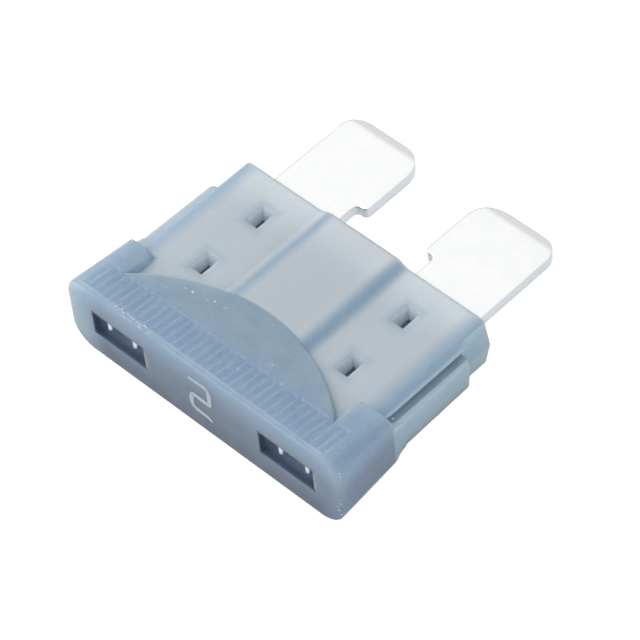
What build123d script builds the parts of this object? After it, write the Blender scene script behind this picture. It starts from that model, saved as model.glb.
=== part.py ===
from build123d import *
import os
from math import radians, tan

# A plug-in blade fuse of the regular size, lying on one broad face.
# X runs across the fuse, Y from the grip head to the blade tips, Z up.
# Both pieces are drawn about the mid-plane, with Y = 0 at the outer face of the head,
# and moved at the end so that the origin is the middle of the footprint.

# overall
overall_length = 18.9
housing_length = 12.05

# head: a wedge with rounded corners that thins towards the blades
head_width = 19.1
head_thickness = 5.1
head_corner = 1.5
head_edge = 0.2
head_reach = 4.25
head_end_draft = 4.4
head_face_draft = 6.4
head_corner_loss = 0.137
wall_draft = 18.0

# shoulders at both ends of the head, and the hollow foot that runs out into the rails
shoulder_width = 2.4
shoulder_corner = 0.7
foot_start = 1.55
foot_reach = 5.05

# arched middle of the head
crescent_reach = 5.15
crescent_radius = 10.85

# grip ribs, left between shallow grooves in both broad faces
rib_pitch = 0.5
rib_margin = 1.05
rib_start = 0.26
rib_end = 2.15
groove_depth = 0.085
groove_mouth = 0.43
groove_floor = 0.16
groove_ramp = 0.1

# body, set in from the ends of the head, and its raised centre band
body_step = 0.95
body_thickness = 3.36
body_draft = 12.0
body_edge = 0.25
band_width = 4.9
band_foot_width = 6.0
band_thickness = 4.0
band_top_blend = 1.0
band_foot_blend = 0.8

# rails along both sides of the body
rail_step = 0.45
rail_flare = 0.16
rail_thickness = 1.9
rail_end = 10.1
rail_draft = 5.0
rail_corner = 0.4

# metal strip: two blades, the plates that carry them and a thin link between
strip_thickness = 0.65
blade_width = 5.2
blade_gap = 4.1
outer_tip_corner = 1.2
inner_tip_corner = 1.6
tip_bevel_length = 0.5
tip_bevel_depth = 0.15
neck_notch = 0.7
neck_corner = 0.3
neck_end = 14.2
plate_top = 2.3
prong_width = 0.38
prong_spacing = 1.82
prong_inset = 1.2
prong_recess = 0.28
link_width = 0.55
link_thickness = 0.22
link_bend = 0.6
link_reach = 0.9
link_place = 7.6
link_root = 0.2

# room inside the housing for the strip
slot_clearance = 0.12
slot_top = 1.2
chamber_width = 5.0
chamber_height = 2.4
chamber_top = 5.4

# test windows in the outer face of the head, in line with the plates
window_width = 3.7
window_height = 1.56
window_inset = 1.36
window_corner = 0.12

# stakes: plastic pressed through holes in the strip, from pockets in both faces
stake_diameter = 1.1
stake_clearance = 0.08
stake_inset = 2.16
stake_rows = (5.54, 9.56)
pocket_width = 0.9
pocket_length = 1.3
pocket_floor = 0.74
pocket_draft = 14.0

# worked out from the sizes above
face_slope = tan(radians(head_face_draft))
end_slope = tan(radians(head_end_draft))
wall_slope = tan(radians(wall_draft))
panel_level = body_thickness / 2
step_height = head_thickness / 2 - panel_level
head_clear = head_thickness / 2 + head_edge
shoulder_span = head_width - 2 * shoulder_width
body_width = head_width - 2 * body_step
rail_width = head_width - 2 * rail_step
slot_thickness = strip_thickness + 2 * slot_clearance
blade_inner = blade_gap / 2
blade_outer = blade_inner + blade_width
plate_inner = blade_inner + neck_notch
prong_centre = blade_outer - prong_inset
window_centre = blade_outer - window_inset
stake_centre = blade_outer - stake_inset


def across_y(y):
    """Sketch plane across the fuse, whose second axis is Z."""
    return Plane((0, y, 0), x_dir=(-1, 0, 0), z_dir=(0, 1, 0))


def along_x(x):
    """Sketch plane whose first axis is Y and second axis is Z."""
    return Plane((x, 0, 0), x_dir=(0, 1, 0), z_dir=(1, 0, 0))


def both_faces(solid):
    """A shape of the upper face together with its copy on the lower face."""
    return solid + mirror(solid, Plane.XY)


def wedge():
    """Grip head before its end, recesses and ribs are shaped."""
    sections = []
    for y in (0, crescent_reach + head_edge):
        inward = y - head_edge
        width = head_width - 2 * end_slope * inward
        thickness = head_thickness - 2 * face_slope * inward
        corner = head_corner - head_corner_loss * inward
        sections.append(across_y(y) * RectangleRounded(width, thickness, corner))
    solid = loft(sections, ruled=True)
    outer_rim = solid.faces().sort_by(Axis.Y)[0].edges()
    return fillet(outer_rim, head_edge)


def shoulder_side():
    """Side outline of the head: back wall, then a hollow foot down to the rails."""
    foot = rail_thickness / 2
    lean = (head_clear - foot_start) * wall_slope
    wall = Polyline(
        (0, 0), (0, head_clear), (head_reach - lean, head_clear), (head_reach, foot_start)
    )
    hollow = Spline(
        (head_reach, foot_start),
        (foot_reach, foot),
        tangents=[(wall_slope, -1), (1, 0)],
    )
    base = Polyline((foot_reach, foot), (foot_reach, 0), (0, 0))
    return make_face([wall, hollow, base])


def shoulder_recess():
    """Channel above the panel, from shoulder to shoulder, with leaning walls."""
    foot = shoulder_span / 2
    mouth = foot + (head_clear - panel_level) * wall_slope
    section = make_face(Polyline(
        (-foot, panel_level), (foot, panel_level), (mouth, head_clear), (-mouth, head_clear),
        (-foot, panel_level),
    ))
    return extrude(across_y(0) * section, foot_reach)


def shoulders():
    """Both shoulders with their feet, rounded where channel and back wall meet."""
    block = extrude(along_x(-head_width) * shoulder_side(), 2 * head_width)
    block -= shoulder_recess()
    corners = block.edges().filter_by(
        lambda edge: shoulder_span / 2 < abs(edge.center().X) < body_width / 2
        and edge.bounding_box().size.Z > step_height / 2
        and edge.center().Y > head_edge
    )
    return both_faces(fillet(corners, shoulder_corner))


def crescent_disc():
    """Slightly tapered disc that bounds the arched middle of the head."""
    core = Cylinder(crescent_radius, body_thickness)
    rim = Pos(0, 0, panel_level + step_height / 2) * Cone(
        crescent_radius, crescent_radius - step_height * wall_slope, step_height
    )
    return Pos(0, crescent_reach - crescent_radius, 0) * (core + both_faces(rim))


def body():
    """Flat body between the rails, drafted both ways from the parting line."""
    foot = body_width / 2
    top = foot - panel_level * tan(radians(body_draft))
    section = make_face(Polyline(
        (-foot, 0), (-top, panel_level), (top, panel_level), (foot, 0), (-foot, 0),
    ))
    start = head_reach / 2
    solid = extrude(across_y(start) * section, housing_length - start)
    raised = solid.edges().filter_by(lambda edge: edge.center().Z > 0)
    rims = raised.group_by(Axis.Y)[-1] + raised.filter_by(Axis.Y)
    return both_faces(fillet(rims, body_edge))


def band():
    """Raised band down the middle of both faces, from the arch to the open end."""
    top = band_thickness / 2
    foot = band_foot_width / 2
    brim = foot + band_foot_blend
    half = make_face(Polyline(
        (0, 0), (0, top), (band_width / 2, top), (foot, panel_level), (brim, panel_level),
        (brim, 0), (0, 0),
    ))
    crown = half.vertices().group_by(Axis.Y)[-1].sort_by(Axis.X)[-1]
    half = fillet(crown, band_top_blend)
    root = half.vertices().sort_by_distance((foot, panel_level))[0]
    half = fillet(root, band_foot_blend)
    section = half + mirror(half, Plane.YZ)
    start = head_reach / 2
    solid = extrude(across_y(start) * section, housing_length - start)
    end_rim = solid.edges().group_by(Axis.Y)[-1]
    raised = end_rim.filter_by(
        lambda edge: edge.center().Z > panel_level / 2 and abs(edge.center().X) < brim
    )
    return both_faces(fillet(raised, body_edge))


def rails():
    """Rail along each side, drafted from the parting line at the mid-plane."""
    end = rail_width / 2
    start = head_reach / 2
    side = Polyline((0, start), (end + rail_flare, start), (end, rail_end - rail_corner))
    corner = RadiusArc((end, rail_end - rail_corner), (end - rail_corner, rail_end), -rail_corner)
    close = Polyline((end - rail_corner, rail_end), (0, rail_end), (0, start))
    plan = make_face([side, corner, close])
    plan = plan + mirror(plan, Plane.YZ)
    return both_faces(extrude(plan, rail_thickness / 2, taper=rail_draft))


def groove():
    """One groove in the sloping upper face, with ramps at both ends."""
    run = Vector(0, 1, -face_slope).normalized()
    length = rib_end - rib_start
    clear = groove_depth
    start = (0, rib_start, head_thickness / 2 - face_slope * (rib_start - head_edge))
    across = make_face(Polyline(
        (-groove_mouth / 2, -clear), (-groove_mouth / 2, 0), (-groove_floor / 2, groove_depth),
        (groove_floor / 2, groove_depth), (groove_mouth / 2, 0), (groove_mouth / 2, -clear),
        (-groove_mouth / 2, -clear),
    ))
    along = make_face(Polyline(
        (0, -clear), (0, 0), (groove_ramp, groove_depth), (length - groove_ramp, groove_depth),
        (length, 0), (length, -clear), (0, -clear),
    ))
    cutter = extrude(Plane(start, x_dir=(1, 0, 0), z_dir=run) * across, length)
    return cutter & extrude(Plane(start, x_dir=run, z_dir=(-1, 0, 0)) * along, groove_mouth, both=True)


def grooves():
    """Grooves side by side between the ribs, in both broad faces."""
    cutter = both_faces(groove())
    count = round((head_width - 2 * rib_margin) / rib_pitch)
    first = -(count - 1) * rib_pitch / 2
    return [Pos(first + i * rib_pitch, 0, 0) * cutter for i in range(count)]


def strip_room():
    """Slot for the strip and a chamber round the link, both open at the blade end."""
    slot_width = 2 * (blade_outer + slot_clearance)
    slot_length = housing_length - slot_top
    slot = Pos(0, slot_top + slot_length / 2) * Box(slot_width, slot_length, slot_thickness)
    chamber_length = housing_length - chamber_top
    middle = chamber_top + chamber_length / 2
    chamber = Pos(0, middle) * Box(chamber_width, chamber_length, chamber_height)
    return slot + chamber


def windows():
    """Test windows in the head, which open into the slot."""
    outline = RectangleRounded(window_width, window_height, window_corner)
    window = extrude(across_y(0) * outline, slot_top + slot_clearance)
    return [Pos(side * window_centre, 0) * window for side in (-1, 1)]


def stake_places():
    """Centres of the four stakes."""
    return [(side * stake_centre, row) for side in (-1, 1) for row in stake_rows]


def pockets():
    """Staking pockets that narrow downwards, one above the other in both faces."""
    mouth = Plane((0, 0, panel_level), z_dir=(0, 0, -1))
    outline = mouth * Rectangle(pocket_width, pocket_length)
    pocket = extrude(outline, panel_level - pocket_floor, taper=pocket_draft)
    return [both_faces(Pos(x, y, 0) * pocket) for x, y in stake_places()]


def stakes(diameter):
    """Round pins through the strip, from pocket floor to pocket floor."""
    return [Pos(x, y, 0) * Cylinder(diameter / 2, 2 * pocket_floor) for x, y in stake_places()]


def housing():
    """One-piece translucent moulding."""
    disc = crescent_disc()
    solid = wedge() & (shoulders() + disc)
    solid += body()
    solid += band() - disc
    solid += rails()
    solid -= grooves()
    solid -= windows()
    solid -= pockets()
    solid -= strip_room()
    solid += stakes(stake_diameter)
    return solid


def blade_half():
    """Plan of the blade and plate on the +X side."""
    plan = make_face(Polyline(
        (plate_inner, plate_top), (blade_outer, plate_top), (blade_outer, overall_length),
        (blade_inner, overall_length), (blade_inner, neck_end), (plate_inner, neck_end),
        (plate_inner, plate_top),
    ))
    plan = fillet(plan.vertices().group_by(Axis.Y)[-1].sort_by(Axis.X)[0], inner_tip_corner)
    plan = fillet(plan.vertices().group_by(Axis.Y)[-1].sort_by(Axis.X)[-1], outer_tip_corner)
    below = (plate_top + neck_end) / 2
    above = (neck_end + overall_length) / 2
    notch = plan.vertices().filter_by(
        lambda corner: below < corner.Y < above and corner.X < prong_centre
    )
    plan = fillet(notch, neck_corner)
    prong_length = plate_top - prong_recess
    for x in (prong_centre - prong_spacing / 2, prong_centre + prong_spacing / 2):
        shank = Pos(x, prong_recess + prong_length / 2) * Rectangle(
            prong_width, prong_length - prong_width
        )
        shank_end = Pos(x, prong_recess + prong_width / 2) * Circle(prong_width / 2)
        root = Pos(x, plate_top) * Rectangle(prong_width, prong_width)
        plan = plan + shank + shank_end + root
    return plan


def tip_side():
    """Side outline of the strip, thinned by a bevel on both faces of the tips."""
    full = strip_thickness / 2
    tip = full - tip_bevel_depth
    flat_end = overall_length - tip_bevel_length
    outline = make_face(Polyline(
        (0, 0), (0, full), (flat_end, full), (overall_length, tip), (overall_length, 0), (0, 0),
    ))
    return both_faces(extrude(along_x(-blade_outer) * outline, 2 * blade_outer))


def link_line():
    """Middle line of the thin link, an S between the two plates."""
    level = 2 * link_bend
    start = -plate_inner - link_root
    upper = Line((start, link_place + level), (link_reach, link_place + level))
    turn = CenterArc((link_reach, link_place + link_bend), link_bend, -90, 180)
    middle = Line((link_reach, link_place), (-link_reach, link_place))
    back = CenterArc((-link_reach, link_place - link_bend), link_bend, 90, 180)
    lower = Line((-link_reach, link_place - level), (-start, link_place - level))
    return [upper, turn, middle, back, lower]


def fuse_element():
    """Stamped strip: two blades with plates, prongs and stake holes, and the link."""
    half = blade_half()
    plan = half + mirror(half, Plane.YZ)
    solid = extrude(plan, strip_thickness / 2, both=True) & tip_side()
    solid -= stakes(stake_diameter + 2 * stake_clearance)
    link = extrude(trace(link_line(), link_width), link_thickness / 2, both=True)
    return solid + link


def place(solid):
    """Move a piece from the drawing frame to the part's own frame."""
    return Pos(0, -overall_length / 2, head_thickness / 2) * solid


os.makedirs("parts", exist_ok=True)
export_step(place(housing()), "parts/housing.step")
export_step(place(fuse_element()), "parts/fuse_element.step")
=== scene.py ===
import bmesh
import bpy
import math
from mathutils import Matrix, Vector


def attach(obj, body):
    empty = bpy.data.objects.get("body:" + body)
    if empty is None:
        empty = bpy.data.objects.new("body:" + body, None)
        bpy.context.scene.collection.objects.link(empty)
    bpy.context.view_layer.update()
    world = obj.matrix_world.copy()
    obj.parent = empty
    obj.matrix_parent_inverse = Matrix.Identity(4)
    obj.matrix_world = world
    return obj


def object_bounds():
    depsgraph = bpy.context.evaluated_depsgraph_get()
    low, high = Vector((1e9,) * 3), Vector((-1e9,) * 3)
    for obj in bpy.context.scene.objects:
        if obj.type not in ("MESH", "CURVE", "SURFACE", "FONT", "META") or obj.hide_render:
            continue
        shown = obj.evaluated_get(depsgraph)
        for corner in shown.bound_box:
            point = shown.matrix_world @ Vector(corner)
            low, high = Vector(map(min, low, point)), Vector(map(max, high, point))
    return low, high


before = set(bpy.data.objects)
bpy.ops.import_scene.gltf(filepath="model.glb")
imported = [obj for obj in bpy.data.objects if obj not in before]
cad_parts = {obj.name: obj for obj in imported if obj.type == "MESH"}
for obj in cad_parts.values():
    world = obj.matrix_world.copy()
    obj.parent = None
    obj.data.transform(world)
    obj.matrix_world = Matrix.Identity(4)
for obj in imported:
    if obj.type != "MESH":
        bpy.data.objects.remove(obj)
cadBox = [list(corner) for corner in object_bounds()]
mm = 0.001
faceY = cadBox[0][1]  # outer face of the head
midZ = (cadBox[0][2] + cadBox[1][2]) / 2  # mid-plane of the fuse
print("frame loaded:", ", ".join(sorted(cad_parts)))


# Colours are written as they show on a screen, 0 to 255.
def shade(colour):
    parts = [value / 255 for value in colour]
    linear = [part / 12.92 if part <= 0.04045 else ((part + 0.055) / 1.055) ** 2.4 for part in parts]
    return (*linear, 1)


# Inputs are plain values, or the sockets they come from.
def addNode(tree, kind, inputs=None, **settings):
    node = tree.nodes.new(kind)
    for name, value in settings.items():
        setattr(node, name, value)
    for name, value in (inputs or {}).items():
        if isinstance(value, bpy.types.NodeSocket):
            tree.links.new(value, node.inputs[name])
        else:
            node.inputs[name].default_value = value
    return node


def calc(tree, operation, *values):
    return addNode(tree, "ShaderNodeMath", dict(enumerate(values)), operation=operation).outputs[0]


def times(tree, first, second):
    return calc(tree, "MULTIPLY", first, second)


def vectorCalc(tree, operation, *values):
    node = addNode(tree, "ShaderNodeVectorMath", dict(enumerate(values)), operation=operation)
    return node.outputs["Value" if operation == "LENGTH" else "Vector"]


def split(tree, vector):
    return addNode(tree, "ShaderNodeSeparateXYZ", {0: vector}).outputs


def ramp(tree, value, start, end):
    # smooth step from 0 at start to 1 at end
    inputs = {"Value": value, "From Min": start, "From Max": end}
    return addNode(tree, "ShaderNodeMapRange", inputs, interpolation_type="SMOOTHSTEP").outputs["Result"]


def tint(tree, mask, under, over):
    # under where the mask is 0, over where it is 1
    node = addNode(tree, "ShaderNodeMix", data_type="RGBA")
    sockets = {socket.identifier: socket for socket in node.inputs}
    tree.links.new(mask, sockets["Factor_Float"])
    for name, colour in (("A_Color", under), ("B_Color", over)):
        if isinstance(colour, bpy.types.NodeSocket):
            tree.links.new(colour, sockets[name])
        else:
            sockets[name].default_value = shade(colour)
    results = {socket.identifier: socket for socket in node.outputs}
    return results["Result_Color"]


def noise(tree, place, **values):
    return addNode(tree, "ShaderNodeTexNoise", {"Vector": place, **values}).outputs[0]


def newGroup(name, inputs, outputs):
    group = bpy.data.node_groups.new(name, "ShaderNodeTree")
    for label, kind in inputs:
        group.interface.new_socket(label, in_out="INPUT", socket_type="NodeSocket" + kind)
    for label, kind in outputs:
        group.interface.new_socket(label, in_out="OUTPUT", socket_type="NodeSocket" + kind)
    entry = group.nodes.new("NodeGroupInput")
    leave = group.nodes.new("NodeGroupOutput")
    return group, entry.outputs, leave.inputs


def useGroup(tree, group, **inputs):
    return addNode(tree, "ShaderNodeGroup", inputs, node_tree=group).outputs


def softEdge(tree, beyond, softness):
    # 1 inside an outline, 0 beyond it
    return ramp(tree, beyond, softness, times(tree, softness, -1.0))


# Soft-edged box: 1 inside, 0 outside.
def makeBoxMask():
    inputs = [("Place", "Vector"), ("Centre", "Vector"), ("Half", "Vector"), ("Softness", "Float")]
    group, given, result = newGroup("boxMask", inputs, [("Mask", "Float")])
    away = vectorCalc(group, "ABSOLUTE", vectorCalc(group, "SUBTRACT", given["Place"], given["Centre"]))
    over = split(group, vectorCalc(group, "SUBTRACT", away, given["Half"]))
    furthest = calc(group, "MAXIMUM", calc(group, "MAXIMUM", over[0], over[1]), over[2])
    group.links.new(softEdge(group, furthest, given["Softness"]), result["Mask"])
    return group


# Soft-edged upright disc.
def makeDiscMask():
    inputs = [("Place", "Vector"), ("Centre", "Vector"), ("Radius", "Float"), ("Softness", "Float")]
    group, given, result = newGroup("discMask", inputs, [("Mask", "Float")])
    away = vectorCalc(group, "SUBTRACT", given["Place"], given["Centre"])
    flat = vectorCalc(group, "MULTIPLY", away, (1, 1, 0))
    beyond = calc(group, "SUBTRACT", vectorCalc(group, "LENGTH", flat), given["Radius"])
    group.links.new(softEdge(group, beyond, given["Softness"]), result["Mask"])
    return group


# Moulded or rolled surface: a fine grain and slow blotches.
def makeGrain():
    inputs = [("Place", "Vector"), ("Grain", "Float"), ("Blotch", "Float")]
    group, given, result = newGroup("surfaceGrain", inputs, [("Height", "Float"), ("Blotches", "Float")])
    fine = noise(group, given["Place"], Scale=given["Grain"], Detail=3.0, Roughness=0.6)
    slow = noise(group, given["Place"], Scale=given["Blotch"], Detail=4.0, Roughness=0.55)
    group.links.new(fine, result["Height"])
    group.links.new(ramp(group, slow, 0.3, 0.7), result["Blotches"])
    return group


# Thin broken scratches: stretched noise cut to its crests.
def makeScuff():
    inputs = [("Place", "Vector"), ("Stretch", "Vector"), ("Amount", "Float")]
    group, given, result = newGroup("scuffMarks", inputs, [("Mask", "Float")])
    highest = 0.75  # crests that show when the amount is 0
    lowering = 0.25
    edge = 0.06
    stretched = vectorCalc(group, "MULTIPLY", given["Place"], given["Stretch"])
    streaks = noise(group, stretched, Scale=1.0, Detail=5.0, Roughness=0.65, Distortion=0.6)
    start = calc(group, "SUBTRACT", highest, times(group, given["Amount"], lowering))
    group.links.new(ramp(group, streaks, start, calc(group, "ADD", start, edge)), result["Mask"])
    return group


boxMask = makeBoxMask()
discMask = makeDiscMask()
surfaceGrain = makeGrain()
scuffMarks = makeScuff()
print("shader groups made")


# Object coordinates in millimetres, from the head's face and the mid-plane.
def millimetres(tree):
    place = addNode(tree, "ShaderNodeTexCoord").outputs["Object"]
    shifted = {"Vector": place, "Location": (0, -faceY / mm, -midZ / mm), "Scale": (1 / mm,) * 3}
    return addNode(tree, "ShaderNodeMapping", shifted).outputs["Vector"]


def newMaterial(name):
    material = bpy.data.materials.new(name)
    material.use_nodes = True
    tree = material.node_tree
    return material, tree, tree.nodes["Principled BSDF"]


def inBox(tree, place, centre, half, softness):
    return useGroup(tree, boxMask, Place=place, Centre=centre, Half=half, Softness=softness)["Mask"]


def facingUp(tree):
    # 1 where a face looks straight up or down, 0 on an upright wall
    facing = addNode(tree, "ShaderNodeNewGeometry").outputs["Normal"]
    return split(tree, vectorCalc(tree, "ABSOLUTE", facing))[2]


def softEdges(tree, height, distance, strength, radius):
    # rounds the edges that the light sees, under a fine bump
    rounded = addNode(tree, "ShaderNodeBevel", {"Radius": radius}, samples=6).outputs[0]
    inputs = {"Height": height, "Distance": distance * mm, "Strength": strength, "Normal": rounded}
    return addNode(tree, "ShaderNodeBump", inputs).outputs[0]


# Most pairs say where a change starts and ends: in mm, or for walls by how far a face looks up.
housingLook = {
    "roughness": 0.44,
    "scatter": 0.95,
    "scatterDepth": 2.8,
    "edgeRadius": 0.25,
    "wallStart": (0.75, 0.25),
    "head": {
        "ribbedColour": (138, 166, 192),
        "archColour": (145, 171, 190),
        # painted glow: light shining through the head's thin ends
        "shoulderGlowColour": (152, 178, 201),
        # painted light in the grooves, lighter to soften the shade in them
        "grooveLitColour": (147, 174, 201),
        "archCentre": (0, -5.7, 0),
        "archRadius": 10.85,
        "archSoftness": 0.08,
        "shoulderInner": 7.15,
        "shoulderBack": 4.2,
        "shoulderSoftness": 0.12,
        "archStart": (2.1, 2.5),
        "shoulderStart": (7.0, 8.4),
        "faceHeight": 2.572,  # broad face where it would meet the outer face
        "faceSlope": 0.112,
        "grooveDepth": 0.085,
        "ribbedCentre": (0, 1.2, 2.4),
        "ribbedHalf": (8.65, 0.96, 0.3),
        "ribbedSoftness": 0.05,
    },
    "headWalls": {
        "innerColour": (158, 186, 204),  # steps down to the body
        # painted shade at the foot, painted light at the top
        "shadedFootColour": (106, 122, 152),
        "middleColour": (131, 157, 183),
        "litTopColour": (173, 200, 225),
        "paintedGlowColour": (200, 228, 255),  # painted glow of light through the ends
        "heights": (-2.2, -0.2, 1.7),  # of the foot, middle and top colours
        "farGlow": (-6.8, -8.8),
        "nearGlow": (7.4, 9.3),
        "nearGlowShare": 0.15,
        "outerFace": (1.1, 0.5),
        "ends": (8.9, 9.15),
    },
    "body": {
        "colour": (196, 207, 215),  # thin plastic over the bright plates
        # painted light: brighter towards the open end
        "litOpenEndColour": (221, 232, 241),
        "endLineColour": (184, 207, 222),
        "marginColour": (146, 172, 196),  # nothing bright below
        "openEnd": (9.0, 12.0),
        "endLine": (11.78, 11.88),
        "margin": (7.05, 8.3),
        "bandSlopes": ((-2.25, 0.22), (2.7, 0.38)),  # middle and half width of each; bluer for the plastic with no plate beneath, and the wider right one adds painted shade
        "bandReach": (8, 7),  # middle and half length
        "bandDepth": 3,
        "bandSoftness": 0.35,
    },
    "rails": {
        "paintedLitTopColour": (178, 202, 222),  # tops: painted light on the lamp's side, painted shadow on the other
        "paintedShadowTopColour": (114, 142, 163),
        "edgeColour": (172, 196, 212),
        "sideWallGlowColour": (166, 194, 217),  # body wall above a rail, painted glow of light shining through
        # painted light at the crease above the ledge, against its shade
        "aboveFootLitColour": (220, 241, 255),
        "rimGlowColour": (194, 224, 255),  # thin outer walls, painted glow of light shining through
        "start": (8.0, 8.3),
        "litSide": (4, -4),
        "edge": (8.78, 8.92),
        "top": (1.3, 1.1),
        "above": (0.9, 1.0),
        "aboveFoot": (1.4, 1.0),
        "end": (10.9, 9.7),
    },
    "pockets": {
        # walls: painted light; floor: painted shade
        "litWallColour": (203, 216, 223),
        "floorColour": (124, 143, 156),
        "ringColour": (146, 172, 196),
        "across": 5.09,
        "rows": (5.54, 9.56),
        "half": (0.5, 0.7, 1.6),
        "ringSoftness": 0.55,
        "softness": 0.06,
        "floor": (0.94, 0.79),
    },
    "windows": {
        # painted shade in the window openings
        "mouthShadeColour": (70, 87, 110),
        "deepColour": (160, 179, 205),
        "centre": (5.89, 0.8, 0),
        "half": (1.92, 0.9, 0.88),
        "softness": 0.03,
        "deep": (0.15, 0.8),
    },
    "surface": {
        "grain": 9.0,
        "blotch": 0.9,
        "blotchColour": (200, 210, 218),
        "blotchShare": 0.12,
        "speckleGrain": 16.0,
        "speckle": 9.0,
        "speckleColour": (104, 124, 146),
        "bodySpeckle": 0.09,
        "headSpeckle": 0.13,  # on top of the body's
        "rubColour": (222, 230, 236),
        "rubStretch": (1.3, 4.0, 2.0),
        "rubAmount": 0.35,
        "rubShare": 0.5,
        "bumpDistance": 0.01,
        "bumpStrength": 0.5,
    },
}


def findHead(tree, mirrored, look):
    # 1 on the arch and both shoulders
    arch = useGroup(tree, discMask, Place=mirrored, Centre=look["archCentre"], Radius=look["archRadius"],
                    Softness=look["archSoftness"])["Mask"]
    back = look["shoulderBack"]
    centre = (look["shoulderInner"] + back, 0, 0)
    shoulder = inBox(tree, mirrored, centre, (back, back, back), look["shoulderSoftness"])
    return calc(tree, "MAXIMUM", arch, shoulder)


def paintHead(tree, mirrored, axes, look):
    slope = calc(tree, "MULTIPLY_ADD", axes[1], -look["faceSlope"], look["faceHeight"])
    depth = calc(tree, "SUBTRACT", slope, axes[2])
    ribbed = inBox(tree, mirrored, look["ribbedCentre"], look["ribbedHalf"], look["ribbedSoftness"])
    # grooves painted lighter: painted light that softens the shade in them
    groove = times(tree, ribbed, ramp(tree, depth, 0, look["grooveDepth"]))
    colour = tint(tree, groove, look["ribbedColour"], look["grooveLitColour"])
    colour = tint(tree, ramp(tree, axes[1], *look["archStart"]), colour, look["archColour"])
    # the head's ends painted lighter, a painted glow of light through them
    return tint(tree, ramp(tree, axes[0], *look["shoulderStart"]), colour, look["shoulderGlowColour"])


# Walls of the head: painted light and shade, lighter towards the top and at the ends where light shines
# through, darker at the foot.
def paintHeadWalls(tree, place, axes, look):
    signed = split(tree, place)
    foot, middle, top = look["heights"]
    wall = tint(tree, ramp(tree, signed[2], foot, middle), look["shadedFootColour"], look["middleColour"])
    wall = tint(tree, ramp(tree, signed[2], middle, top), wall, look["litTopColour"])
    nearGlow = times(tree, ramp(tree, signed[0], *look["nearGlow"]), look["nearGlowShare"])
    glow = calc(tree, "MAXIMUM", ramp(tree, signed[0], *look["farGlow"]), nearGlow)
    wall = tint(tree, glow, wall, look["paintedGlowColour"])
    ends = ramp(tree, axes[0], *look["ends"])
    outside = calc(tree, "MAXIMUM", ramp(tree, axes[1], *look["outerFace"]), ends)
    return tint(tree, outside, look["innerColour"], wall)


# Thin body: painted light makes it brightest at the open end; bluer along its margins and the band's side
# slopes, the slopes partly as painted shade.
def paintBody(tree, place, axes, look):
    colour = tint(tree, ramp(tree, axes[1], *look["openEnd"]), look["colour"], look["litOpenEndColour"])
    middleY, halfY = look["bandReach"]
    for middleX, halfX in look["bandSlopes"]:
        # side slopes bluer, partly for the plastic with no plate beneath and partly painted shade, more on
        # the right
        slope = inBox(tree, place, (middleX, middleY, 0), (halfX, halfY, look["bandDepth"]),
                      look["bandSoftness"])
        colour = tint(tree, slope, colour, look["marginColour"])
    colour = tint(tree, ramp(tree, axes[0], *look["margin"]), colour, look["marginColour"])
    return tint(tree, ramp(tree, axes[1], *look["endLine"]), colour, look["endLineColour"])


# Rails and the body's side walls: walls painted pale as a painted glow of light shining through, and tops
# painted lit on one side and in painted shadow on the other.
def paintRails(tree, colour, place, axes, upright, look):
    outer = ramp(tree, axes[0], *look["start"])
    # painted light on the tops at negative x, painted shadow at positive x
    lit = ramp(tree, split(tree, place)[0], *look["litSide"])
    ledge = tint(tree, lit, look["paintedShadowTopColour"], look["paintedLitTopColour"])
    ledge = tint(tree, ramp(tree, axes[0], *look["edge"]), ledge, look["edgeColour"])
    low = ramp(tree, axes[2], *look["top"])
    colour = tint(tree, times(tree, outer, low), colour, ledge)
    # walls painted paler as a painted glow, lightest at the crease above the ledge
    foot = ramp(tree, axes[2], *look["aboveFoot"])
    sideWall = tint(tree, foot, look["sideWallGlowColour"], look["aboveFootLitColour"])
    above = times(tree, ramp(tree, axes[2], *look["above"]), ramp(tree, axes[1], *look["end"]))
    rim = tint(tree, above, look["rimGlowColour"], sideWall)
    return tint(tree, times(tree, upright, outer), colour, rim)


# Stake pockets, with a bluer ring round each mouth; walls painted pale, painted light against their shade,
# and floors darker as painted shade.
def paintPockets(tree, colour, mirrored, axes, look):
    for row in look["rows"]:
        centre = (look["across"], row, 0)
        ring = inBox(tree, mirrored, centre, look["half"], look["ringSoftness"])
        colour = tint(tree, ring, colour, look["ringColour"])
        pocket = inBox(tree, mirrored, centre, look["half"], look["softness"])
        # pocket walls painted pale as painted light
        colour = tint(tree, pocket, colour, look["litWallColour"])
        # floors painted darker as painted shade
        low = ramp(tree, axes[2], *look["floor"])
        colour = tint(tree, times(tree, pocket, low), colour, look["floorColour"])
    return colour


# Uneven colour and faint rub marks.
def wearSurface(tree, colour, place, head, look):
    grain = useGroup(tree, surfaceGrain, Place=place, Grain=look["grain"], Blotch=look["blotch"])
    colour = tint(tree, times(tree, grain["Blotches"], look["blotchShare"]), colour, look["blotchColour"])
    speckle = useGroup(tree, surfaceGrain, Place=place, Grain=look["speckleGrain"], Blotch=look["speckle"])
    share = calc(tree, "MULTIPLY_ADD", head, look["headSpeckle"], look["bodySpeckle"])
    colour = tint(tree, times(tree, speckle["Blotches"], share), colour, look["speckleColour"])
    rubbed = useGroup(tree, scuffMarks, Place=place, Stretch=look["rubStretch"], Amount=look["rubAmount"])
    colour = tint(tree, times(tree, rubbed["Mask"], look["rubShare"]), colour, look["rubColour"])
    return colour, grain["Height"]


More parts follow.
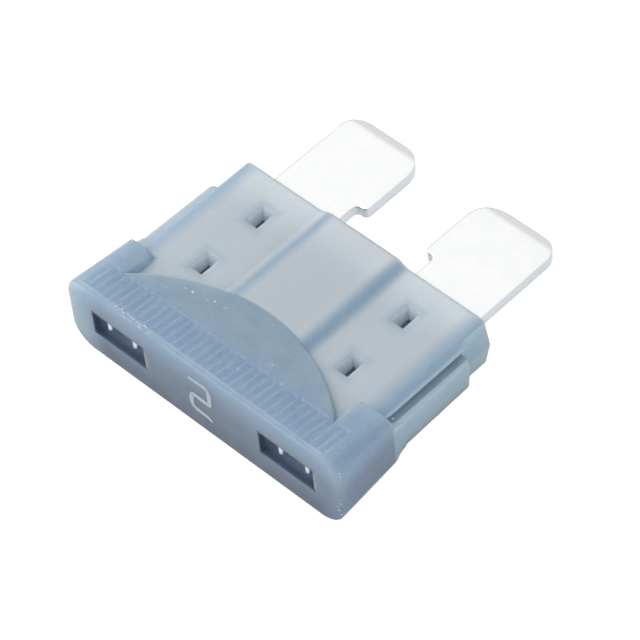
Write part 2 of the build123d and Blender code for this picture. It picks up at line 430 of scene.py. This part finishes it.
def housingPlastic(look):
    material, tree, shader = newMaterial("frostedBluePlastic")
    place = millimetres(tree)
    mirrored = vectorCalc(tree, "ABSOLUTE", place)
    axes = split(tree, mirrored)
    upright = ramp(tree, facingUp(tree), *look["wallStart"])

    head = findHead(tree, mirrored, look["head"])
    top = paintHead(tree, mirrored, axes, look["head"])
    side = paintHeadWalls(tree, place, axes, look["headWalls"])
    body = paintBody(tree, place, axes, look["body"])
    body = paintRails(tree, body, place, axes, upright, look["rails"])
    colour = tint(tree, head, body, tint(tree, upright, top, side))
    colour, height = wearSurface(tree, colour, place, head, look["surface"])
    colour = paintPockets(tree, colour, mirrored, axes, look["pockets"])

    # window openings painted dark as painted shade at the mouth, paler further in
    windows = look["windows"]
    window = inBox(tree, mirrored, windows["centre"], windows["half"], windows["softness"])
    inside = tint(tree, ramp(tree, axes[1], *windows["deep"]), windows["mouthShadeColour"], windows["deepColour"])
    colour = tint(tree, window, colour, inside)

    # windows keep sharp edges
    fullRadius = look["edgeRadius"] * mm
    radius = calc(tree, "MULTIPLY_ADD", window, -fullRadius, fullRadius)
    surface = look["surface"]
    normal = softEdges(tree, height, surface["bumpDistance"], surface["bumpStrength"], radius)
    tree.links.new(colour, shader.inputs["Base Color"])
    tree.links.new(normal, shader.inputs["Normal"])
    shader.inputs["Roughness"].default_value = look["roughness"]
    shader.inputs["Subsurface Weight"].default_value = look["scatter"]
    shader.inputs["Subsurface Radius"].default_value = (look["scatterDepth"],) * 3
    shader.inputs["Subsurface Scale"].default_value = mm
    return material


metalLook = {
    "plating": (244, 245, 244),
    "dull": (236, 238, 238),
    "sideReflectionColour": (204, 209, 213),  # blade sides, painted dimmer reflection
    # rub marks, and the tip bevel's painted dimmer reflection
    "rubAndBevelReflectionColour": (217, 218, 217),
    "housingReflectionColour": (206, 218, 226),
    "tipBevel": (18.15, 18.55),
    "sideStart": (0.8, 0.3),
    "housingEnd": (13.0, 12.0),
    "grain": 12.0,
    "blotch": 0.8,
    "rubStretch": (5.0, 0.8, 2.0),
    "rubAmount": 0.4,
    "rubShare": 0.4,
    "roughness": 0.34,
    "roughnessSpread": 0.08,
    "bumpDistance": 0.004,
    "bumpStrength": 0.4,
    "edgeRadius": 0.18,
}


def platedMetal(look):
    material, tree, shader = newMaterial("brightTinPlating")
    place = millimetres(tree)
    along = split(tree, place)[1]
    grain = useGroup(tree, surfaceGrain, Place=place, Grain=look["grain"], Blotch=look["blotch"])
    colour = tint(tree, grain["Blotches"], look["plating"], look["dull"])
    rubbed = useGroup(tree, scuffMarks, Place=place, Stretch=look["rubStretch"], Amount=look["rubAmount"])
    colour = tint(tree, times(tree, rubbed["Mask"], look["rubShare"]), colour, look["rubAndBevelReflectionColour"])
    # tip bevel painted darker, a painted reflection
    colour = tint(tree, ramp(tree, along, *look["tipBevel"]), colour, look["rubAndBevelReflectionColour"])
    # blade sides painted darker, a painted reflection
    colour = tint(tree, ramp(tree, facingUp(tree), *look["sideStart"]), colour, look["sideReflectionColour"])
    # bluish painted reflection of the housing on the blade near it
    colour = tint(tree, ramp(tree, along, *look["housingEnd"]), colour, look["housingReflectionColour"])
    rough = calc(tree, "ADD", look["roughness"], times(tree, grain["Blotches"], look["roughnessSpread"]))
    normal = softEdges(tree, grain["Height"], look["bumpDistance"], look["bumpStrength"],
                       look["edgeRadius"] * mm)
    tree.links.new(colour, shader.inputs["Base Color"])
    tree.links.new(rough, shader.inputs["Roughness"])
    tree.links.new(normal, shader.inputs["Normal"])
    shader.inputs["Metallic"].default_value = 1
    return material


def dress(node, material):
    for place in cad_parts[node].material_slots:
        place.material = material


dress("housing", housingPlastic(housingLook))
dress("fuse_element", platedMetal(metalLook))
print("materials made")


# A point in millimetres from the head's face and the mid-plane, as metres in the frame.
def fromFace(x, y, z):
    return Vector((x * mm, faceY + y * mm, midZ + z * mm))


def addPiece(name, mesh, material):
    mesh.materials.clear()
    mesh.materials.append(material)
    piece = bpy.data.objects.new(name, mesh)
    bpy.context.scene.collection.objects.link(piece)
    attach(piece, "root")
    return piece


def tidyMesh(mesh):
    form = bmesh.new()
    form.from_mesh(mesh)
    bmesh.ops.remove_doubles(form, verts=form.verts, dist=0.0005 * mm)
    bmesh.ops.recalc_face_normals(form, faces=form.faces)
    form.to_mesh(mesh)
    form.free()


printLook = {
    "patchColour": (206, 218, 230),
    "patchShare": 0.15,
    "grain": 14.0,
    "blotch": 3.0,
    "bumpDistance": 0.004,
    "roughness": 0.6,
}


def mattPrint(colour, look):
    material, tree, shader = newMaterial("mattPrint")
    grain = useGroup(tree, surfaceGrain, Place=millimetres(tree), Grain=look["grain"], Blotch=look["blotch"])
    ink = tint(tree, times(tree, grain["Blotches"], look["patchShare"]), colour, look["patchColour"])
    relief = {"Height": grain["Height"], "Distance": look["bumpDistance"] * mm}
    tree.links.new(ink, shader.inputs["Base Color"])
    tree.links.new(addNode(tree, "ShaderNodeBump", relief).outputs[0], shader.inputs["Normal"])
    shader.inputs["Roughness"].default_value = look["roughness"]
    return material


figure = {
    # centre line across the face and up from the mid-plane, and stroke width, in mm
    "stroke": (
        (-0.79, 1.18, 0.16), (0.42, 1.22, 0.24), (0.62, 1.02, 0.3), (0.6, -0.05, 0.3),
        (-0.62, 0.02, 0.26), (-0.74, -0.2, 0.3), (-0.76, -0.86, 0.3), (-0.62, -1.08, 0.26),
        (0.4, -1.16, 0.24), (0.62, -1.32, 0.12),
    ),
    "cornerCut": 0.12,  # mm taken off each side of a corner
    "secondCut": 0.04,
    "proud": 0.015,
    "sunk": 0.05,
    "colour": (231, 245, 255),
}


def roundCorners(points, cut):
    longestShare = 0.45  # of the line beside a corner
    rounded = [points[0]]
    for before, corner, after in zip(points, points[1:], points[2:]):
        for end in (before, after):
            share = min(longestShare, cut / (end.xy - corner.xy).length)
            rounded.append(corner.lerp(end, share))
    return rounded + [points[-1]]


# A ring of four points across the stroke at each point of the line, joined into one closed band.
def makeFigure(setup):
    line = [Vector(point) for point in setup["stroke"]]
    line = roundCorners(roundCorners(line, setup["cornerCut"]), setup["secondCut"])
    vertices = []
    for i, point in enumerate(line):
        ahead = (line[min(i + 1, len(line) - 1)].xy - line[max(i - 1, 0)].xy).normalized()
        side = Vector((-ahead.y, ahead.x)) * point.z / 2
        for depth in (-setup["proud"], setup["sunk"]):
            for edge in (point.xy + side, point.xy - side):
                vertices.append(fromFace(edge.x, depth, edge.y))
    ring = (0, 1, 3, 2)
    last = len(vertices) - 4
    faces = [ring, tuple(last + corner for corner in reversed(ring))]
    for start in range(0, last, 4):
        for here, beside in zip(ring, ring[1:] + ring[:1]):
            faces.append((start + here, start + here + 4, start + beside + 4, start + beside))
    mesh = bpy.data.meshes.new("ratingFigure")
    mesh.from_pydata(vertices, [], faces)
    tidyMesh(mesh)
    return mesh


addPiece("ratingFigure", makeFigure(figure), mattPrint(figure["colour"], printLook))
print("rating figure made")

# Flecks of chipped plastic, strewn along paths on the housing.
fleckLook = {
    "colour": (232, 241, 250),
    "shape": (1.0, 0.45, 0.3),  # length, width and thickness
    "turn": (0.3, 0.3, 0.25),  # radians either way
    "edge": {
        # along the head's outer edge, densest in the middle
        "paths": (((-6.1, 0.1, 2.5), (-3.4, 0.1, 2.5)), ((-5.1, 0.08, 2.48), (-4.1, 0.12, 2.5))),
        "spacing": 0.085,
        "spread": (0.12, 0.2, 0.1),
        "size": (0.02, 0.075),
        "seed": 4,
    },
    "loose": {
        "paths": (
            ((-4.4, 3.5, 2.2), (-3.2, 3.75, 2.15)),
            ((-2.9, 3.62, 2.18), (-2.5, 3.66, 2.18)),
            ((-2.2, 3.9, 2.15), (-1.7, 3.8, 2.15)),
            ((1.1, 1.1, 2.46), (1.2, 1.12, 2.46)),
            ((8.55, 4.7, 0.95), (8.65, 4.76, 0.95)),
            ((9.3, 0.2, 1.7), (9.4, 0.12, 1.55)),
            ((9.4, 0.1, -0.1), (9.42, 0.1, -1.2)),
            ((9.25, 3.6, -0.3), (9.25, 3.8, 0.1)),
        ),
        "spacing": 0.24,
        "spread": (0.16, 0.2, 0.04),
        "size": (0.025, 0.1),
        "seed": 9,
    },
}


def randomVector(tree, low, high, seed):
    inputs = {"Min": low, "Max": high, "Seed": seed}
    return addNode(tree, "FunctionNodeRandomValue", inputs, data_type="FLOAT_VECTOR").outputs[0]


def randomNumber(tree, low, high, seed):
    node = addNode(tree, "FunctionNodeRandomValue", {"Seed": seed})
    sockets = {socket.identifier: socket for socket in (*node.inputs, *node.outputs)}
    tree.links.new(low, sockets["Min_001"])
    tree.links.new(high, sockets["Max_001"])
    return sockets["Value_001"]


def makeFleckTree(look):
    tree = bpy.data.node_groups.new("strewnFlecks", "GeometryNodeTree")
    inputs = [("Paths", "Geometry"), ("Surface", "Object"), ("Spacing", "Float"), ("Spread", "Vector"),
              ("Smallest", "Float"), ("Largest", "Float"), ("Seed", "Int"), ("Material", "Material")]
    for label, kind in inputs:
        tree.interface.new_socket(label, in_out="INPUT", socket_type="NodeSocket" + kind)
    tree.interface.new_socket("Flecks", in_out="OUTPUT", socket_type="NodeSocketGeometry")
    given = tree.nodes.new("NodeGroupInput").outputs
    result = tree.nodes.new("NodeGroupOutput").inputs
    line = addNode(tree, "GeometryNodeMeshToCurve", {"Mesh": given["Paths"]}).outputs[0]
    spaced = addNode(tree, "GeometryNodeResampleCurve", {"Curve": line, "Length": given["Spacing"]},
                     mode="LENGTH").outputs[0]
    dots = addNode(tree, "GeometryNodeCurveToPoints", {"Curve": spaced}, mode="EVALUATED").outputs["Points"]

    # strew them about the path, then put them on the housing's surface
    back = vectorCalc(tree, "MULTIPLY", given["Spread"], (-1, -1, -1))
    strewn = randomVector(tree, back, given["Spread"], given["Seed"])
    moved = addNode(tree, "GeometryNodeSetPosition", {"Geometry": dots, "Offset": strewn}).outputs[0]
    body = addNode(tree, "GeometryNodeObjectInfo", {"Object": given["Surface"]}).outputs["Geometry"]
    nearest = addNode(tree, "GeometryNodeProximity", {"Geometry": body}).outputs["Position"]
    seated = addNode(tree, "GeometryNodeSetPosition", {"Geometry": moved, "Position": nearest}).outputs[0]

    ball = addNode(tree, "GeometryNodeMeshIcoSphere", {"Radius": 1.0, "Subdivisions": 1}).outputs["Mesh"]
    flake = addNode(tree, "GeometryNodeTransform", {"Geometry": ball, "Scale": look["shape"]}).outputs[0]
    size = randomNumber(tree, given["Smallest"], given["Largest"], given["Seed"])
    turn = randomVector(tree, [-angle for angle in look["turn"]], look["turn"], given["Seed"])
    copies = addNode(tree, "GeometryNodeInstanceOnPoints",
                     {"Points": seated, "Instance": flake, "Rotation": turn, "Scale": size}).outputs[0]
    whole = addNode(tree, "GeometryNodeRealizeInstances", {"Geometry": copies}).outputs[0]
    dressed = addNode(tree, "GeometryNodeSetMaterial", {"Geometry": whole, "Material": given["Material"]})
    tree.links.new(dressed.outputs[0], result[0])
    return tree


def makeFlecks(name, tree, setup, material):
    ends = [fromFace(*point) for path in setup["paths"] for point in path]
    edges = [(i, i + 1) for i in range(0, len(ends), 2)]
    mesh = bpy.data.meshes.new(name)
    mesh.from_pydata(ends, edges, [])
    carrier = bpy.data.objects.new(name + "Paths", mesh)
    bpy.context.scene.collection.objects.link(carrier)
    modifier = carrier.modifiers.new("flecks", "NODES")
    modifier.node_group = tree
    values = {
        "Surface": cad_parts["housing"],
        "Spacing": setup["spacing"] * mm,
        "Spread": [part * mm for part in setup["spread"]],
        "Smallest": setup["size"][0] * mm,
        "Largest": setup["size"][1] * mm,
        "Seed": setup["seed"],
        "Material": material,
    }
    for socket in tree.interface.items_tree:
        if socket.in_out == "INPUT" and socket.name in values:
            modifier[socket.identifier] = values[socket.name]
    finished = carrier.evaluated_get(bpy.context.evaluated_depsgraph_get())
    plain = bpy.data.meshes.new_from_object(finished)
    carrier.modifiers.remove(modifier)
    bpy.data.objects.remove(carrier)
    tidyMesh(plain)
    print(name, "made,", len(plain.polygons), "faces")
    addPiece(name, plain, material)


fleckTree = makeFleckTree(fleckLook)
chipMaterial = mattPrint(fleckLook["colour"], printLook)
makeFlecks("edgeFlecks", fleckTree, fleckLook["edge"], chipMaterial)
makeFlecks("looseFlecks", fleckTree, fleckLook["loose"], chipMaterial)

cameraSetup = {
    "azimuth": 48.52,
    "elevation": 50.36,
    "roll": -6.24,
    "distance": 0.1829,
    "focalPixels": 3608.9,
    "pictureSide": 640,
    "sensorWidth": 36,
    "target": (0, -1.45 * mm, 2.55 * mm),
    "aside": (-0.383 * mm, 0.737 * mm),
    "clip": (0.01, 10),
}


def makeCamera(setup):
    azimuth = math.radians(setup["azimuth"])
    elevation = math.radians(setup["elevation"])
    roll = math.radians(setup["roll"])
    back = Vector((
        math.sin(azimuth) * math.cos(elevation),
        -math.cos(azimuth) * math.cos(elevation),
        math.sin(elevation),
    ))
    level = Vector((0, 0, 1)).cross(back).normalized()
    upright = back.cross(level)
    right = math.cos(roll) * level + math.sin(roll) * upright
    up = math.cos(roll) * upright - math.sin(roll) * level
    place = Vector(setup["target"]) + back * setup["distance"]
    place -= right * setup["aside"][0] + up * setup["aside"][1]
    data = bpy.data.cameras.new("photoCamera")
    data.sensor_width = setup["sensorWidth"]
    data.lens = setup["sensorWidth"] * setup["focalPixels"] / setup["pictureSide"]
    data.clip_start, data.clip_end = setup["clip"]
    camera = bpy.data.objects.new("photoCamera", data)
    turn = Matrix((right, up, back)).transposed().to_4x4()
    camera.matrix_world = Matrix.Translation(place) @ turn
    bpy.context.scene.collection.objects.link(camera)
    bpy.context.scene.camera = camera


makeCamera(cameraSetup)

studio = {
    "floorColour": (128, 130, 134),
    "floorRoughness": 0.9,
    "floorGlow": 0.95,  # added where the camera or a reflection sees the floor
    "floorSize": 0.6,
    "ambient": 0.5,
    "ambientColour": (1.0, 1.0, 1.0),
    "keyLight": {
        "aim": (-0.5, -0.3, 0.85),
        "distance": 0.16,
        "size": 0.13,
        "power": 0.125,
        "colour": (1.0, 1.0, 1.0),
    },
    "fillLight": {
        "aim": (0.9, -0.25, 0.3),
        "distance": 0.2,
        "size": 0.2,
        "power": 0.065,
        "colour": (0.82, 0.92, 1.0),
    },
}


def seenDirectly(tree):
    # camera, mirror and see-through rays
    path = addNode(tree, "ShaderNodeLightPath").outputs
    mirror = calc(tree, "MAXIMUM", path["Is Camera Ray"], path["Is Glossy Ray"])
    return calc(tree, "MAXIMUM", mirror, path["Is Transmission Ray"])


def makeFloor(setup):
    half = setup["floorSize"] / 2
    corners = [(-half, -half, 0), (half, -half, 0), (half, half, 0), (-half, half, 0)]
    mesh = bpy.data.meshes.new("floor")
    mesh.from_pydata(corners, [], [(0, 1, 2, 3)])
    floor = bpy.data.objects.new("floor", mesh)
    bpy.context.scene.collection.objects.link(floor)
    material, tree, shader = newMaterial("paleFloor")
    shader.inputs["Base Color"].default_value = shade(setup["floorColour"])
    shader.inputs["Roughness"].default_value = setup["floorRoughness"]
    shader.inputs["Emission Color"].default_value = (1, 1, 1, 1)
    tree.links.new(times(tree, seenDirectly(tree), setup["floorGlow"]), shader.inputs["Emission Strength"])
    mesh.materials.append(material)


def makeWorld(setup):
    world = bpy.data.worlds.new("studio")
    bpy.context.scene.world = world
    world.use_nodes = True
    tree = world.node_tree
    sky = tree.nodes["Background"]
    sky.inputs["Color"].default_value = (*setup["ambientColour"], 1)
    extra = times(tree, seenDirectly(tree), 1 - setup["ambient"])
    tree.links.new(calc(tree, "ADD", extra, setup["ambient"]), sky.inputs["Strength"])


def makeLamp(name, setup):
    data = bpy.data.lights.new(name, "AREA")
    data.shape = "DISK"
    data.size = setup["size"]
    data.energy = setup["power"]
    data.color = setup["colour"]
    lamp = bpy.data.objects.new(name, data)
    toLamp = Vector(setup["aim"]).normalized()
    lamp.location = toLamp * setup["distance"]
    lamp.rotation_euler = toLamp.to_track_quat("Z", "Y").to_euler()
    bpy.context.scene.collection.objects.link(lamp)


makeFloor(studio)
makeWorld(studio)
for lampName in ("keyLight", "fillLight"):
    makeLamp(lampName, studio[lampName])
bpy.context.scene.view_settings.view_transform = "Standard"
print("camera, floor and light placed")
